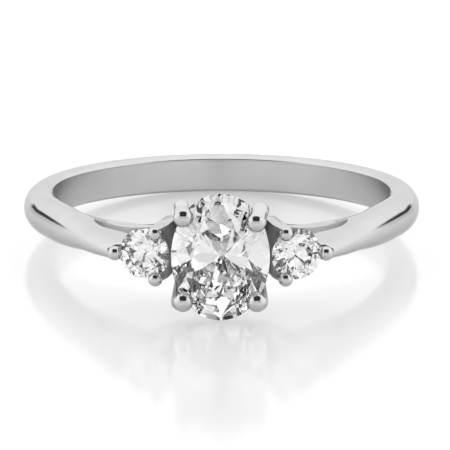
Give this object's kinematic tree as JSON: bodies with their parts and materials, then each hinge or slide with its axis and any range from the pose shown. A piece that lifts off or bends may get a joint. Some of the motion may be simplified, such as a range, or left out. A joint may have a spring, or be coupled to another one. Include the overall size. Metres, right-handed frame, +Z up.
{
  "type": "diamond engagement ring",
  "caption": "Engagement ring lying on its side: a half-round band with split cathedral shoulders, an oval brilliant and round side brilliants held in ball-ended claws.",
  "frame": {"origin": "centre of the bounding box on the surface that the ring lies on", "axes": "+Z up from the surface; -Y out through the tables of the stones; +Y to the back of the band; X across the finger hole. The finger hole's axis leans from +Z towards +Y by about 5.4 degrees, because the ring rests on the end of the oval stone and on the back of the band"},
  "size_m": [0.0202, 0.024, 0.0061],
  "materials": {
    "white_gold": "polished white gold",
    "diamond": "faceted and polished diamond"
  },
  "bodies": {
    "root": {"ring_mount": "white_gold", "oval_stone": "diamond", "round_stone_left": "diamond", "round_stone_right": "diamond"}
  },
  "joints": []
}
